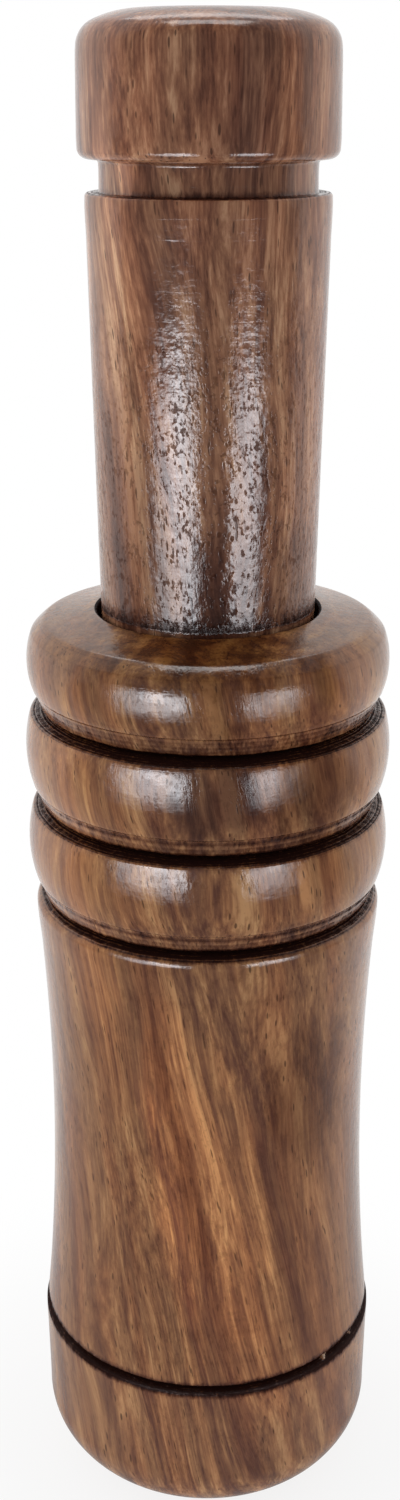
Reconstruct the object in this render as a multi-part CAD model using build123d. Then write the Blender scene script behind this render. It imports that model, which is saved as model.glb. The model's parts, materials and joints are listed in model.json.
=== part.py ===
from build123d import *
import math
import os

# Turned hardwood bird call, in millimetres, standing on its mouth end.
# Z runs up the bore from the mouth to the open end of the stopper, and the reeds face -Y.

# Barrel outside, from the mouth end up
barrel_length = 95.4
stand_width = 1.7            # flat ring that the barrel stands on
mouth_flare = 1.0            # rounded inner edge of the mouth
mouth_radius = 17.45
mouth_corner_height = 7.2
mouth_corner_bulge = 2.15
band_radius = 17.62          # plain band between the mouth and the lowest groove
band_height = 17.9           # height of the lowest groove
waist_foot_radius = 17.4
waist_radius = 16.17
waist_head_radius = 17.25

# Three beads under the barrel's top, parted by burnt grooves
bead_count = 3
bead_pitch = 9.62
top_bead_height = 9.5        # from the top groove to the barrel's top
bead_foot_radius = 17.17
top_bead_foot_radius = 16.97
bead_lip_radius = 17.25
bead_bulge = 0.535
top_bead_bulge = 0.49
strip_height = 1.75          # plain strip between a bead and the groove under it
strip_inset = 0.15           # step from the bead in to its strip
strip_fall = 0.57            # how far the strip narrows down to its groove
shoulder_radius = 16.95
shoulder_fall = 2.16
shoulder_bulge = 0.05
rim_radius = 15.7            # edge where the top face breaks to the shoulder
rim_fall = 1.0
rim_round = 1.0
groove_depth = 1.4
groove_below = 0.62          # height of the flank under the bottom of a groove
groove_above = 0.22          # height of the flank over it
lip_round = 0.4
waist_lip_round = 1.0        # softer lip where the waist meets the lowest bead

# Barrel inside
bore_radius = 9.525
mouth_bore_radius = 7.94
throat_length = 20.0         # narrow stretch at the mouth
ledge_width = 1.025          # step that the stopper's shoulder seats on
recess_depth = 3.5
edge_break = 0.3

# Stopper
tenon_clearance = 0.1
tenon_length = 16.0
tenon_chamfer = 0.5
recess_gap = 0.45            # open ring round the shaft where it enters the barrel
shaft_length = 37.8          # from the barrel's top to the lanyard groove
shaft_head_radius = 10.96
lanyard_radius = 9.7
lanyard_width = 2.8
lanyard_fillet = 0.45
cap_length = 12.15
cap_foot_radius = 11.53
cap_head_radius = 11.42
cap_bulge = 0.08
cap_lower_round = 0.9
cap_crown = 1.63             # how far the crown falls from the exhaust to the cap's edge
cap_crown_bulge = 0.34
cap_corner_round = 2.4
exhaust_radius = 4.75
flare_width = 1.75
flare_depth = 3.25
flare_bulge = 0.7
shaft_lip_round = 0.35

# Sealing rings on the tenon
gland_depth = 1.53
ring_width = 1.95
ring_clearance = 0.03
ring_side_room = 0.2
ring_inset = 4.2             # from either end of the tenon to the middle of a ring

# Tone board, reeds and wedge
socket_wall = 2.0            # wood between the socket and the ring grooves
socket_room = 0.3
plug_length = 12.0
plug_clearance = 0.02
collar_length = 10.5
collar_clearance = 0.5
collar_wall = 1.0
slot_end_wall = 1.5
board_step = 1.1             # how far the board is smaller in radius than the collar
tip_room = 7.4               # from the board's tip to the throat
tip_drop = 1.2               # how far the board curves away from the reeds at its tip
tip_thickness = 6.0
tip_corner = 3.0
tone_bore_radius = 2.0
tone_floor = 0.6             # wall between the tone bore and the slot
trough_setback = 6.0         # from the tip to the middle of the trough's round end
lower_reed_thickness = 0.36
upper_reed_thickness = 0.25
lower_reed_setback = 1.0     # from the board's tip to the reed's tip
upper_reed_setback = 4.0
reed_side_room = 0.15
reed_dog_ear = 1.2
wedge_thickness = 1.8
wedge_proud = 0.8
stack_clearance = 0.02       # between the faces stacked in the slot

# Heights that the pieces share
ledge_height = barrel_length - recess_depth
tenon_end = ledge_height - tenon_length
collar_end = tenon_end - collar_length
tip_height = throat_length + tip_room
board_length = collar_end - tip_height
shaft_top = barrel_length + shaft_length
cap_bottom = shaft_top + lanyard_width
overall_length = cap_bottom + cap_length
socket_top = tenon_end + plug_length + socket_room
slot_top = tenon_end - slot_end_wall

# Radii that the pieces share
tenon_radius = bore_radius - tenon_clearance
recess_radius = bore_radius + ledge_width
shaft_foot_radius = recess_radius - recess_gap
gland_radius = bore_radius - gland_depth
socket_radius = gland_radius - socket_wall
collar_radius = bore_radius - collar_clearance
board_radius = collar_radius - board_step
flare_radius = exhaust_radius + flare_width

# Stack in the collar's slot, as distances from the axis towards the reeds
flat_offset = tone_bore_radius + tone_floor
lower_reed_face = flat_offset + stack_clearance
upper_reed_face = lower_reed_face + lower_reed_thickness + stack_clearance
wedge_face = upper_reed_face + upper_reed_thickness + stack_clearance
slot_roof = wedge_face + wedge_thickness + stack_clearance
slot_width = 2 * math.sqrt((collar_radius - collar_wall) ** 2 - slot_roof**2)
reed_width = slot_width - 2 * reed_side_room


class Outline:
    """Half section of a turned piece, walked from point to point as radius and height."""

    def __init__(self, radius, height):
        self.start = (radius, height)
        self.at = self.start
        self.edges = []
        self.rounds = []

    def line(self, radius, height):
        self.edges.append(Line(self.at, (radius, height)))
        self.at = (radius, height)

    def arc(self, radius, height, bulge):
        """Arc whose middle stands off its chord by bulge, to the right of the way when positive."""
        self.edges.append(SagittaArc(self.at, (radius, height), -bulge))
        self.at = (radius, height)

    def round(self, radius):
        """Ease the corner at the point reached."""
        self.rounds.append((self.at, radius))

    def turn(self):
        """Close the section and turn it about the vertical axis."""
        if self.at != self.start:
            self.line(*self.start)
        section = make_face(self.edges).face()
        for corner, radius in self.rounds:
            vertex = section.vertices().sort_by_distance(corner)[0]
            section = section.fillet_2d(radius, [vertex])
        return revolve(Plane.XZ * section, Axis.Z)


def cut_groove(outline, height, foot_radius, edge_round):
    """Burnt V groove from the lip below it, eased by edge_round, to the foot of the form above it."""
    lip_radius = outline.at[0]
    outline.round(edge_round)
    outline.line(min(lip_radius, foot_radius) - groove_depth, height)
    outline.line(foot_radius, height + groove_above)


def add_bead(outline, groove_height, foot_radius, lip, bulge, edge_round):
    """Burnt groove, the plain strip over it, a small step out and the round of a bead up to its lip."""
    strip_radius = foot_radius - strip_inset
    strip_top = groove_height + groove_above + strip_height
    cut_groove(outline, groove_height, strip_radius - strip_fall, edge_round)
    outline.line(strip_radius, strip_top)
    outline.line(foot_radius, strip_top)
    outline.arc(*lip, bulge)


def make_barrel():
    outline = Outline(mouth_bore_radius + mouth_flare, 0)
    outline.line(outline.at[0] + stand_width, 0)
    outline.arc(mouth_radius, mouth_corner_height, mouth_corner_bulge)
    outline.line(band_radius, band_height - groove_below)
    cut_groove(outline, band_height, waist_foot_radius, lip_round)

    top_groove = barrel_length - top_bead_height
    grooves = [top_groove - bead_pitch * step for step in reversed(range(bead_count))]
    waist_chord = (waist_foot_radius + waist_head_radius) / 2
    outline.arc(waist_head_radius, grooves[0] - groove_below, waist_radius - waist_chord)
    edge_rounds = [waist_lip_round] + [lip_round] * (bead_count - 1)
    for lower, upper, edge_round in zip(grooves, grooves[1:], edge_rounds):
        lip = (bead_lip_radius, upper - groove_below)
        add_bead(outline, lower, bead_foot_radius, lip, bead_bulge, edge_round)
    shoulder = (shoulder_radius, barrel_length - shoulder_fall)
    add_bead(outline, top_groove, top_bead_foot_radius, shoulder, top_bead_bulge, edge_rounds[-1])
    outline.arc(rim_radius, barrel_length - rim_fall, shoulder_bulge)
    outline.round(rim_round)
    outline.line(recess_radius, barrel_length)
    outline.round(edge_break)

    outline.line(recess_radius, ledge_height)
    outline.line(bore_radius, ledge_height)
    outline.line(bore_radius, throat_length)
    outline.line(mouth_bore_radius, throat_length)
    outline.line(mouth_bore_radius, mouth_flare)
    quarter_bulge = mouth_flare * (1 - math.sqrt(0.5))
    outline.arc(*outline.start, quarter_bulge)
    return outline.turn()


def ring_heights():
    return {"lower": tenon_end + ring_inset, "upper": ledge_height - ring_inset}


def make_stopper():
    outline = Outline(socket_radius, tenon_end)
    outline.line(tenon_radius - tenon_chamfer, tenon_end)
    outline.line(tenon_radius, tenon_end + tenon_chamfer)
    half_groove = ring_width / 2 + ring_side_room
    for height in ring_heights().values():
        outline.line(tenon_radius, height - half_groove)
        outline.line(gland_radius, height - half_groove)
        outline.line(gland_radius, height + half_groove)
        outline.line(tenon_radius, height + half_groove)
    outline.line(tenon_radius, ledge_height)

    outline.line(shaft_foot_radius, ledge_height)
    outline.line(shaft_head_radius, shaft_top)
    outline.round(shaft_lip_round)
    outline.line(lanyard_radius, shaft_top)
    outline.line(lanyard_radius, cap_bottom)
    outline.round(lanyard_fillet)
    outline.line(cap_foot_radius, cap_bottom)
    outline.round(cap_lower_round)
    outline.arc(cap_head_radius, overall_length - cap_crown, cap_bulge)
    outline.round(cap_corner_round)
    outline.arc(flare_radius, overall_length, cap_crown_bulge)
    outline.round(edge_break)

    outline.arc(exhaust_radius, overall_length - flare_depth, flare_bulge)
    outline.line(exhaust_radius, socket_top)
    outline.line(socket_radius, socket_top)
    return outline.turn()


def make_ring(height):
    """Sealing ring as it sits, pressed to an oval between the groove and the bore."""
    inner = gland_radius + ring_clearance
    outer = bore_radius - ring_clearance
    section = Pos((inner + outer) / 2, height) * Ellipse((outer - inner) / 2, ring_width / 2)
    return revolve(Plane.XZ * section, Axis.Z)


def make_trough():
    """Open sound trough with a round end, as wide as the tone bore that it runs into."""
    end = tip_height + trough_setback
    reach = flat_offset + tip_drop
    half = Pos(tone_bore_radius / 2, -reach / 2) * Rectangle(tone_bore_radius, reach)
    section = Pos(0, -reach / 2) * Rectangle(2 * tone_bore_radius, reach) + Circle(tone_bore_radius)
    quarter = Pos(tone_bore_radius, tone_bore_radius) * Rectangle(2 * tone_bore_radius, 2 * tone_bore_radius)
    half += Circle(tone_bore_radius) & quarter
    run = extrude(Pos(0, 0, end) * section, collar_end - end)
    round_end = revolve(Pos(0, 0, end) * half, Axis((0, 0, end), (0, 1, 0)))
    return run, round_end


def make_board():
    """Half-round board whose flat side curves away from the reeds towards its tip."""
    root = (-flat_offset, collar_end)
    tip = (-flat_offset + tip_drop, tip_height)
    side = [
        TangentArc(root, tip, tangent=(0, -1)),
        Line(tip, (tip[0] + tip_thickness, tip_height)),
        Line((tip[0] + tip_thickness, tip_height), (board_radius, collar_end)),
        Line((board_radius, collar_end), root),
    ]
    slab = extrude(Plane.YZ * make_face(side), board_radius, both=True)
    plan = Polyline(
        (-board_radius, collar_end),
        (-board_radius, tip_height + tip_corner),
        (-board_radius + tip_corner, tip_height),
        (board_radius - tip_corner, tip_height),
        (board_radius, tip_height + tip_corner),
        (board_radius, collar_end),
        close=True,
    )
    outline = extrude(Plane.XZ * make_face(plan), board_radius, both=True)
    rod = Pos(0, 0, tip_height) * extrude(Circle(board_radius), board_length)
    return rod & slab & outline


def make_tone_board():
    outline = Outline(tone_bore_radius, collar_end)
    outline.line(collar_radius - edge_break, collar_end)
    outline.line(collar_radius, collar_end + edge_break)
    outline.line(collar_radius, tenon_end)
    outline.line(socket_radius - plug_clearance, tenon_end)
    outline.line(socket_radius - plug_clearance, tenon_end + plug_length)
    outline.line(tone_bore_radius, tenon_end + plug_length)
    slot_middle = (0, -(flat_offset + slot_roof) / 2, (collar_end + slot_top) / 2)
    slot = Pos(*slot_middle) * Box(slot_width, slot_roof - flat_offset, slot_top - collar_end)
    board = outline.turn() + make_board() - slot
    for cut in make_trough():
        board -= cut
    return board


def make_reed(face, thickness, setback):
    """Flat strip from the top of the slot to near the board's tip, with its tip corners cut off."""
    half = reed_width / 2
    top = slot_top - stack_clearance
    tip = tip_height + setback
    strip = Polyline(
        (-half, top),
        (-half, tip + reed_dog_ear),
        (-half + reed_dog_ear, tip),
        (half - reed_dog_ear, tip),
        (half, tip + reed_dog_ear),
        (half, top),
        close=True,
    )
    return Pos(0, -face, 0) * extrude(Plane.XZ * make_face(strip), thickness)


def make_wedge():
    """Wedge block that pinches the roots of the reeds, a little proud of the slot."""
    height = slot_top - stack_clearance - collar_end + wedge_proud
    middle = (0, -(wedge_face + wedge_thickness / 2), collar_end - wedge_proud + height / 2)
    return Pos(*middle) * Box(reed_width, wedge_thickness, height)


def make_pieces():
    rings = {f"{place}_o_ring": make_ring(height) for place, height in ring_heights().items()}
    return {
        "barrel": make_barrel(),
        "stopper": make_stopper(),
        **rings,
        "tone_board": make_tone_board(),
        "lower_reed": make_reed(lower_reed_face, lower_reed_thickness, lower_reed_setback),
        "upper_reed": make_reed(upper_reed_face, upper_reed_thickness, upper_reed_setback),
        "cork_wedge": make_wedge(),
    }


os.makedirs("parts", exist_ok=True)
for node, piece in make_pieces().items():
    export_step(piece, f"parts/{node}.step")
    print(f"{node}: {piece.volume:.1f} mm3")
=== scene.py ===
"""Dresses the turned bird call: lacquered hardwood, burnt grooves, film reeds, cork and rubber."""

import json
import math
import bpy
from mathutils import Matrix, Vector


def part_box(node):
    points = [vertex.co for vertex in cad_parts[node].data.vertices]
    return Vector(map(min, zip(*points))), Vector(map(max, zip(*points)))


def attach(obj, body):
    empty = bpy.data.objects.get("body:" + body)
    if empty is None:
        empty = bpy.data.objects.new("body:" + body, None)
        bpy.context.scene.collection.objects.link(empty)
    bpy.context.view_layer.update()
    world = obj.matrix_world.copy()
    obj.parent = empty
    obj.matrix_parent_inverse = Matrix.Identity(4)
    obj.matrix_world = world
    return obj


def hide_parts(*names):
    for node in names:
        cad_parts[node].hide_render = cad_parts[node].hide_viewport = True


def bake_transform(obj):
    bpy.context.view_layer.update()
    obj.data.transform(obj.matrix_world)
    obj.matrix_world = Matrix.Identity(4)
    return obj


bl_info = {
    "name": "Turned Bird Call",
    "version": (1, 0, 0),
    "blender": (4, 5, 0),
    "location": "View3D > Sidebar > Bird Call",
    "description": "Builds the finished pieces of a turned bird call around its packed frame",
    "category": "Object",
}

from dataclasses import dataclass
from functools import partial

import bmesh
import bpy
from bpy.props import FloatProperty, FloatVectorProperty, IntProperty, PointerProperty
from mathutils import Euler, Vector, noise

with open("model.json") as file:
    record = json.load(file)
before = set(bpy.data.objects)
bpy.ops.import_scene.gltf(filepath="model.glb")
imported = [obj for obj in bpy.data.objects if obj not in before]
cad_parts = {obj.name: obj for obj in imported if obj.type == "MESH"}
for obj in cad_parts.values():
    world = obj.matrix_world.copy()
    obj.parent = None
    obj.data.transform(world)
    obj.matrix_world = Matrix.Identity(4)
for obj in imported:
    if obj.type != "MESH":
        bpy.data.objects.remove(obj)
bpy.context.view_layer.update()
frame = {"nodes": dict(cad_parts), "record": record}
MM = 0.001

# Names of the mesh data that the finishes read
# The burn attribute holds real char in the barrel's grooves, painted shade in the bore's recess, on the
# shaft's foot and under each bead, and the lanyard groove's darkening
BURN_AND_SHADE = "burn"
BAKE_MAP = "OFBake"

ORIGIN = (0.0, 0.0, 0.0)
# Drops the height of a place
LEVEL = (1.0, 1.0, 0.0)


# Node kits: short ways to lay nodes in a tree


class NodeKit:
    """Adds and links the nodes of one tree."""

    def __init__(self, tree):
        self.tree = tree
        tree.nodes.clear()

    def add(self, kind, inputs=None, **settings):
        node = self.tree.nodes.new("ShaderNode" + kind)
        for name, value in settings.items():
            setattr(node, name, value)
        self.fill(node, inputs or {})
        return node

    def fill(self, node, inputs):
        """Link or set several inputs of a node."""
        for name, value in inputs.items():
            if isinstance(value, bpy.types.NodeSocket):
                self.tree.links.new(value, node.inputs[name])
            else:
                node.inputs[name].default_value = value

    def math(self, operation, first, second=0.0, clamp=False):
        node = self.add("Math", {0: first, 1: second}, operation=operation, use_clamp=clamp)
        return node.outputs[0]

    def times(self, first, second):
        return self.math("MULTIPLY", first, second)

    def most(self, first, second):
        return self.math("MAXIMUM", first, second)

    def plus(self, total, value, share, clamp=False):
        """A total with a share of a value added to it."""
        inputs = {0: value, 1: share, 2: total}
        return self.add("Math", inputs, operation="MULTIPLY_ADD", use_clamp=clamp).outputs[0]

    def rest(self, value):
        """What a value lacks to 1."""
        return self.math("SUBTRACT", 1.0, value)

    def vector(self, operation, first, second):
        return self.add("VectorMath", {0: first, 1: second}, operation=operation).outputs["Vector"]

    def length(self, vector):
        return self.add("VectorMath", {0: vector}, operation="LENGTH").outputs["Value"]

    def axis(self, vector, name):
        return self.add("SeparateXYZ", {0: vector}).outputs[name]

    def mix(self, factor, first, second, blend="MIX"):
        inputs = {"Factor": factor, 6: first, 7: second}
        return self.add("Mix", inputs, data_type="RGBA", blend_type=blend).outputs[2]

    def span(self, value, low, high, to_low=0.0, to_high=1.0):
        """Map a value from one range to another, eased at both ends."""
        inputs = {"Value": value, 1: low, 2: high, 3: to_low, 4: to_high}
        return self.add("MapRange", inputs, interpolation_type="SMOOTHSTEP").outputs[0]

    def noise(self, place, stretch=None, scale=1.0, detail=2.0, roughness=0.5, output=0):
        """Cloudy noise over a place, which is first multiplied by stretch."""
        if stretch is not None:
            place = self.vector("MULTIPLY", place, stretch)
        inputs = {"Vector": place, "Scale": scale, "Detail": detail, "Roughness": roughness}
        return self.add("TexNoise", inputs).outputs[output]

    def trace(self, value, scale=1.0, detail=2.0):
        """Noise along one value."""
        inputs = {"W": value, "Scale": scale, "Detail": detail}
        return self.add("TexNoise", inputs, noise_dimensions="1D").outputs[0]

    def ramp(self, value, stops):
        """Colour ramp through (position, colour) stops."""
        node = self.add("ValToRGB", {"Fac": value})
        ramp = node.color_ramp
        while len(ramp.elements) < len(stops):
            ramp.elements.new(1.0)
        for element, (position, colour) in zip(ramp.elements, stops):
            element.position = position
            element.color = shade(colour)
        return node.outputs["Color"]

    def bump(self, height, depth):
        """Normal of a surface with relief of a given depth."""
        inputs = {"Strength": 1.0, "Distance": depth, "Height": height}
        return self.add("Bump", inputs).outputs["Normal"]

    def light(self, strength, colour=(1.0, 1.0, 1.0)):
        return self.add("Emission", {"Color": shade(colour), "Strength": strength}).outputs[0]


def shade(colour, share=1.0):
    """A colour with its alpha, brightened or darkened by a share."""
    return (*(value * share for value in colour), 1.0)


# Node groups


def shared_group(inputs):
    """Turn a function that gives a group's outputs into one that adds the group, built once, to a tree."""

    def wrap(maker):
        def added(kit, values):
            tree = bpy.data.node_groups.get(maker.__name__) or group_tree(maker, inputs)
            return kit.add("Group", values, node_tree=tree).outputs

        return added

    return wrap


def group_tree(maker, inputs):
    """Node group with these inputs and with the outputs that a function gives, all of them values."""
    tree = bpy.data.node_groups.new(maker.__name__, "ShaderNodeTree")
    kit = NodeKit(tree)
    for name, default in inputs.items():
        kind = "NodeSocketFloat" if isinstance(default, float) else "NodeSocketVector"
        tree.interface.new_socket(name, in_out="INPUT", socket_type=kind).default_value = default
    outputs = maker(kit, tree.nodes.new("NodeGroupInput").outputs)
    for name in outputs:
        tree.interface.new_socket(name, in_out="OUTPUT", socket_type="NodeSocketFloat")
    kit.fill(tree.nodes.new("NodeGroupOutput"), outputs)
    return tree


@shared_group({"Place": ORIGIN, "Pith": ORIGIN, "Ring Spacing": 3.0, "Fibre Share": 1.0})
def figured_grain(kit, entry):
    """Streaks, fibres and pores of a dark open-pored hardwood, solid through the piece."""
    place = entry["Place"]

    # Slow waves bend the rings a few millimetres off a true cylinder, and short ones make them wriggle
    bent = kit.vector("ADD", place, wave(kit, place, (0.06, 0.06, 0.016), 9.0))
    bent = kit.vector("ADD", bent, wave(kit, place, (0.3, 0.3, 0.07), 0.7))
    across = kit.vector("MULTIPLY", kit.vector("SUBTRACT", bent, entry["Pith"]), LEVEL)
    rings = kit.trace(kit.math("DIVIDE", kit.length(across), entry["Ring Spacing"]), detail=4.0)

    # Fibres run along the grain in streaks of two widths, with short flecks where they dip under
    broad = kit.noise(bent, (0.55, 0.55, 0.013), detail=3.0, roughness=0.6)
    fine = kit.noise(bent, (3.4, 3.4, 0.07), detail=4.0, roughness=0.65)
    fleck = kit.noise(bent, (1.5, 1.5, 0.28), detail=3.0, roughness=0.55)
    tone = 0.0
    for layer, share in ((rings, 1.2), (broad, 1.5), (fine, entry["Fibre Share"]), (fleck, 0.55)):
        tone = kit.plus(tone, kit.math("SUBTRACT", layer, 0.5), share)
    streak = kit.noise(bent, (0.34, 0.34, 0.014), detail=3.0)

    # Pores are long slim hollows, crowded into the paler early wood, with small pits between them
    crowd = kit.span(kit.math("ADD", rings, broad), 0.8, 1.2, 0.35, 1.1)
    pores = kit.math("MULTIPLY", pore_mask(kit, bent, (2.1, 2.1, 0.3), 0.22), crowd, clamp=True)
    ragged = kit.noise(bent, (2.9, 2.9, 1.7), roughness=0.6)
    pits = kit.span(kit.plus(ragged, kit.noise(place, scale=0.5), 0.4), 0.75, 0.88)
    pits = kit.most(pits, pore_mask(kit, bent, (1.6, 1.6, 0.7), 0.25))
    return {
        "Tone": kit.math("ADD", tone, 0.5, clamp=True),
        "Hue": kit.span(streak, 0.36, 0.64),
        "Pores": pores,
        "Pits": kit.most(pores, pits),
        "Fibre": fine,
    }


def wave(kit, place, stretch, reach):
    """Sideways shift of the grain that changes slowly from place to place."""
    drift = kit.vector("SUBTRACT", kit.noise(place, stretch, output=1), (0.5, 0.5, 0.5))
    return kit.vector("MULTIPLY", drift, (reach, reach, 0.0))


def pore_mask(kit, place, cells, width):
    """White inside slim hollows, one to each stretched cell."""
    cell = kit.add("TexVoronoi", {"Vector": kit.vector("MULTIPLY", place, cells), "Scale": 1.0})
    return kit.span(cell.outputs["Distance"], width * 0.55, width, 1.0, 0.0)


@shared_group({"Place": ORIGIN})
def lathe_lines(kit, entry):
    """Thin rings that the chisel left round a turned piece, at uneven heights."""
    height = kit.plus(kit.axis(entry["Place"], "Z"), kit.noise(entry["Place"], scale=0.3), 0.4)
    away = kit.math("ABSOLUTE", kit.math("SUBTRACT", kit.trace(height, scale=0.3), 0.5))
    return {"Line": kit.span(away, 0.002, 0.01, 1.0, 0.0)}


@shared_group({"Place": ORIGIN, "Centre": ORIGIN, "Radii": (1.0, 1.0, 1.0)})
def soft_patch(kit, entry):
    """Mask of a cloudy patch round a place, fading to nothing at its radii."""
    cloud = kit.noise(entry["Place"], (0.35, 0.35, 0.12), detail=3.0)
    away = kit.vector("SUBTRACT", entry["Place"], entry["Centre"])
    away = kit.length(kit.vector("DIVIDE", away, entry["Radii"]))
    reach = kit.plus(away, kit.math("SUBTRACT", cloud, 0.5), 1.4)
    return {"Mask": kit.span(reach, 0.25, 1.0, 1.0, 0.0)}


@shared_group({"Place": ORIGIN, "Scuff Length": 12.0})
def handling_marks(kit, entry):
    """Faint scuffs and cloudy smears that a handled surface picks up."""
    smear = kit.noise(entry["Place"], scale=0.22, detail=3.0, roughness=0.6)
    along = kit.math("DIVIDE", 1.0, entry["Scuff Length"])
    slim = kit.add("CombineXYZ", {0: 2.6, 1: along, 2: 2.6}).outputs[0]
    scratch = kit.noise(entry["Place"], slim, detail=4.0, roughness=0.7)
    return {"Smear": kit.span(smear, 0.38, 0.68), "Scuff": kit.span(scratch, 0.6, 0.72)}


# Finishes


def new_material(name):
    """Node material with an empty tree, and its kit."""
    material = bpy.data.materials.new(name)
    material.use_nodes = True
    return material, NodeKit(material.node_tree)


def finish(maker):
    """Turn a function that gives the inputs of a Principled shader into one that makes a material."""

    def made(name, *details):
        material, kit = new_material(name)
        shader = kit.add("BsdfPrincipled", maker(kit, place_in_mm(kit), *details))
        kit.add("OutputMaterial", {"Surface": shader.outputs["BSDF"]})
        return material

    return made


def place_in_mm(kit, lean=ORIGIN):
    """Place on the piece in millimetres, leaned so that its third axis runs along the grain."""
    place = kit.add("TexCoord").outputs["Object"]
    mapping = kit.add("Mapping", {"Vector": place, "Rotation": tuple(lean)}, vector_type="POINT")
    return kit.vector("MULTIPLY", mapping.outputs["Vector"], (1 / MM, 1 / MM, 1 / MM))


@dataclass
class Patch:
    """Cloudy patch that tints the wood, paints light or shade on it, or wears its lacquer, with its centre
    and radii in millimetres.
    """

    centre: tuple
    radii: tuple
    tint: tuple = (1.0, 1.0, 1.0)
    strength: float = 0.0
    worn: float = 0.0


def streaked(kit, wood, grain, aside):
    """Colour of the streaks, calmer towards the sides and redder in places."""
    spread = kit.span(aside, 4.0, 15.0, 1.0, 1.0 - wood.calm_sides)
    tone = kit.plus(0.5, kit.math("SUBTRACT", grain["Tone"], 0.5), spread)
    stops = (
        (0.14, wood.dark_colour),
        (0.38, wood.brown_colour),
        (0.6, wood.warm_colour),
        (0.86, wood.pale_colour),
    )
    colour = kit.ramp(tone, stops)
    ruddy = kit.mix(1.0, colour, shade(wood.ruddy_tint), "MULTIPLY")
    return kit.mix(grain["Hue"], colour, ruddy)


def patched(kit, wood, patches, place, colour):
    """The colour with patches of other wood and of painted light and shade laid over it, and how far the
    lacquer is worn there.
    """
    lean = Euler(wood.lean).to_matrix()
    worn = 0.0
    for patch in patches:
        inputs = {"Place": place, "Centre": lean @ Vector(patch.centre), "Radii": patch.radii}
        mask = soft_patch(kit, inputs)["Mask"]
        colour = kit.mix(kit.times(mask, patch.strength), colour, shade(patch.tint), "MULTIPLY")
        if patch.worn:
            worn = kit.most(worn, kit.times(mask, patch.worn))
    return colour, worn


def burnt(kit, burn, upright):
    """Masks of char and scorch, which also carry painted shade, broken up along the fibres and in rings where
    a burn fades.
    """
    ragged = kit.noise(upright, (1.8, 1.8, 0.9), detail=4.0, roughness=0.7)
    out = kit.length(kit.vector("MULTIPLY", upright, LEVEL))
    ragged = kit.math("SUBTRACT", kit.math("ADD", ragged, kit.trace(out, scale=5.0)), 1.0)
    edge = kit.plus(burn, ragged, kit.span(burn, 0.0, 0.3, 0.7, 1.3))
    return kit.span(edge, 0.4, 0.9), kit.span(edge, 0.0, 0.55, 0.0, 0.8)


@finish
def lacquered_wood(kit, upright, wood, patches):
    """Figured hardwood under gloss lacquer, charred where the mesh says that it is burnt."""
    place = place_in_mm(kit, wood.lean)
    aside = kit.math("ABSOLUTE", kit.axis(upright, "X"))
    height = kit.axis(upright, "Z")
    figure = {
        "Place": place,
        "Pith": tuple(value / MM for value in wood.pith),
        "Ring Spacing": wood.ring_spacing / MM,
        "Fibre Share": wood.fibre_share,
    }
    grain = figured_grain(kit, figure)
    colour, worn = patched(kit, wood, patches, place, streaked(kit, wood, grain, aside))
    facing = kit.axis(kit.add("NewGeometry").outputs["Normal"], "Z")
    colour = kit.mix(kit.span(facing, 0.25, 0.9), colour, shade(wood.end_tint), "MULTIPLY")

    # The lacquer fills the pits towards the top and at the sides
    filling = ((wood.pit_top - wood.pit_fade) / MM, wood.pit_top / MM)
    open_pits = kit.span(height, *filling, wood.pit_share, 0.12)
    open_pits = kit.times(open_pits, kit.span(aside, 5.0, 11.0, 1.0, 0.35))
    pits = kit.times(grain["Pits"], open_pits)
    hollows = kit.most(kit.times(grain["Pores"], 0.72), kit.times(pits, 0.5))
    colour = kit.mix(hollows, colour, shade(wood.pore_colour))

    # Char fills the grooves over a browner scorch, and a splinter stays pale; the same colours paint shade in
    # the bore's recess, on the shaft's foot and under each bead
    burn = kit.add("Attribute", attribute_name=BURN_AND_SHADE).outputs["Fac"]
    char_and_shade, scorch_and_shade = burnt(kit, burn, upright)
    colour = kit.mix(scorch_and_shade, colour, shade(wood.scorch_and_shade_tint), "MULTIPLY")
    colour = kit.mix(char_and_shade, colour, shade(wood.char_and_shade_colour))
    torn = kit.span(burn, -0.7, -0.2, 1.0, 0.0)

    # The lacquer is a coat, thin over pits, char and worn wood, and the wood under it has no gloss
    marks = handling_marks(kit, {"Place": upright, "Scuff Length": 9.0})
    bare = kit.most(kit.most(kit.times(pits, 0.9), kit.times(char_and_shade, 0.9)), worn)

    # The coat sinks into the pores, follows the fibres and tool rings and has a slight orange peel
    line = lathe_lines(kit, {"Place": upright})["Line"]
    peel = kit.noise(upright, (1.1, 1.1, 1.15))
    crust = kit.noise(upright, (3.0, 3.0, 12.0), detail=3.0, roughness=0.6)
    layers = (
        (kit.noise(upright, (0.45, 0.45, 3.2)), wood.chatter_share),
        (grain["Fibre"], 0.25),
        (pits, -0.2),
        (line, -wood.line_share),
        (kit.times(crust, char_and_shade), -1.2),
    )
    relief = kit.times(peel, kit.span(height, *filling, wood.peel_share, 0.6))
    for layer, share in layers:
        relief = kit.plus(relief, layer, share)
    normal = kit.bump(relief, wood.relief)
    return {
        "Base Color": kit.mix(torn, colour, shade(wood.torn_colour)),
        "Roughness": kit.plus(kit.plus(0.45, marks["Smear"], 0.15), char_and_shade, 0.35, clamp=True),
        "Specular IOR Level": 0.0,
        "Coat Weight": kit.rest(bare),
        "Coat Roughness": wood.lacquer_roughness,
        "Normal": normal,
        "Coat Normal": normal,
    }


@finish
def moulded_plastic(kit, place, colour):
    """Satin moulded plastic with a fine eroded texture and pale scuffs."""
    marks = handling_marks(kit, {"Place": place, "Scuff Length": 7.0})
    flow = kit.noise(place, (0.5, 0.5, 0.06), detail=3.0)
    body = kit.mix(flow, shade(colour), shade(colour, 1.7))
    eroded = kit.noise(place, scale=7.0, detail=3.0, roughness=0.6)
    return {
        "Base Color": kit.mix(kit.times(marks["Scuff"], 0.6), body, shade(colour, 4.0)),
        "Roughness": kit.plus(kit.plus(0.36, marks["Smear"], 0.12), marks["Scuff"], 0.12),
        "Normal": kit.bump(eroded, 0.02 * MM),
    }


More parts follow.
